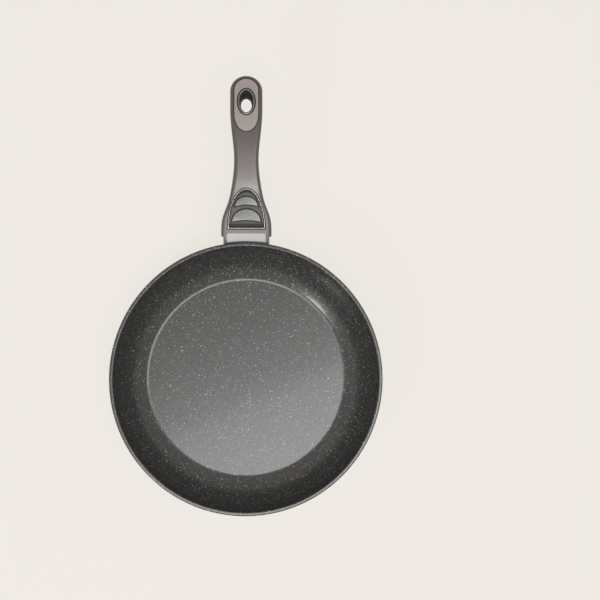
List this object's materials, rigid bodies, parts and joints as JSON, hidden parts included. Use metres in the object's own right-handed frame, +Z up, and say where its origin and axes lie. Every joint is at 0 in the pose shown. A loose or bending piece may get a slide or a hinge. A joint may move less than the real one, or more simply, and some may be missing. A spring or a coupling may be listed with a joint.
{
  "type": "frying pan",
  "caption": "Frying pan with a speckled non-stick body, a perforated induction base, and a handle that pulls off its steel bracket once the thumb slide is pushed back.",
  "frame": {"origin": "centre of the induction base, on the surface that the pan stands on", "axes": "+Z up out of the pan, +Y outwards along the handle, +X to the right of the handle seen from above with the handle pointing away"},
  "size_m": [0.2796, 0.4488, 0.0733],
  "materials": {
    "pan_coating": "speckled grey non-stick coating over forged aluminium, bare machined ring under the base",
    "disc_steel": "radially brushed stainless steel",
    "bracket_steel": "polished stainless steel",
    "inner_steel": "plain pressed steel",
    "fastener_steel": "zinc plated steel",
    "spring_steel": "blued spring steel",
    "grip_plastic": "metallic grey lacquer, satin",
    "plate_trim": "lighter metallic grey lacquer, satin",
    "bright_trim": "satin chrome",
    "button_plastic": "dark grey, finely textured",
    "pad_trim": "light metallic grey, satin"
  },
  "bodies": {
    "pan": {"pan_body": "pan_coating", "induction_disc": "disc_steel", "bracket_sleeve": "bracket_steel", "tongue_bracket": "inner_steel", "wall_studs": "fastener_steel", "lock_washers": "fastener_steel", "stud_nuts": "fastener_steel"},
    "handle": {"handle_grip": "grip_plastic", "tip_plate": "plate_trim", "hang_eyelet": "bright_trim", "window_bezel": "bright_trim", "receiver_channel": "inner_steel", "receiver_screw": "fastener_steel", "catch_leaf": "spring_steel", "catch_rivets": "fastener_steel", "return_spring": "spring_steel"},
    "thumb_slide": {"slide_button": "button_plastic", "upper_pad": "pad_trim", "lower_pad": "pad_trim", "release_fork": "inner_steel", "fork_screws": "fastener_steel"}
  },
  "joints": [
    {"name": "handle_release", "type": "slide", "parent": "pan", "child": "handle", "axis": [0, 0.9511, 0.309], "range_m": [0, 0.065], "deforming": ["catch_leaf"]},
    {"name": "thumb_slide_travel", "type": "slide", "parent": "handle", "child": "thumb_slide", "axis": [0, 0.9511, 0.309], "range_m": [0, 0.0036], "stiffness_N_per_m": 600, "springref_m": -0.002, "deforming": ["return_spring", "catch_leaf"]}
  ]
}
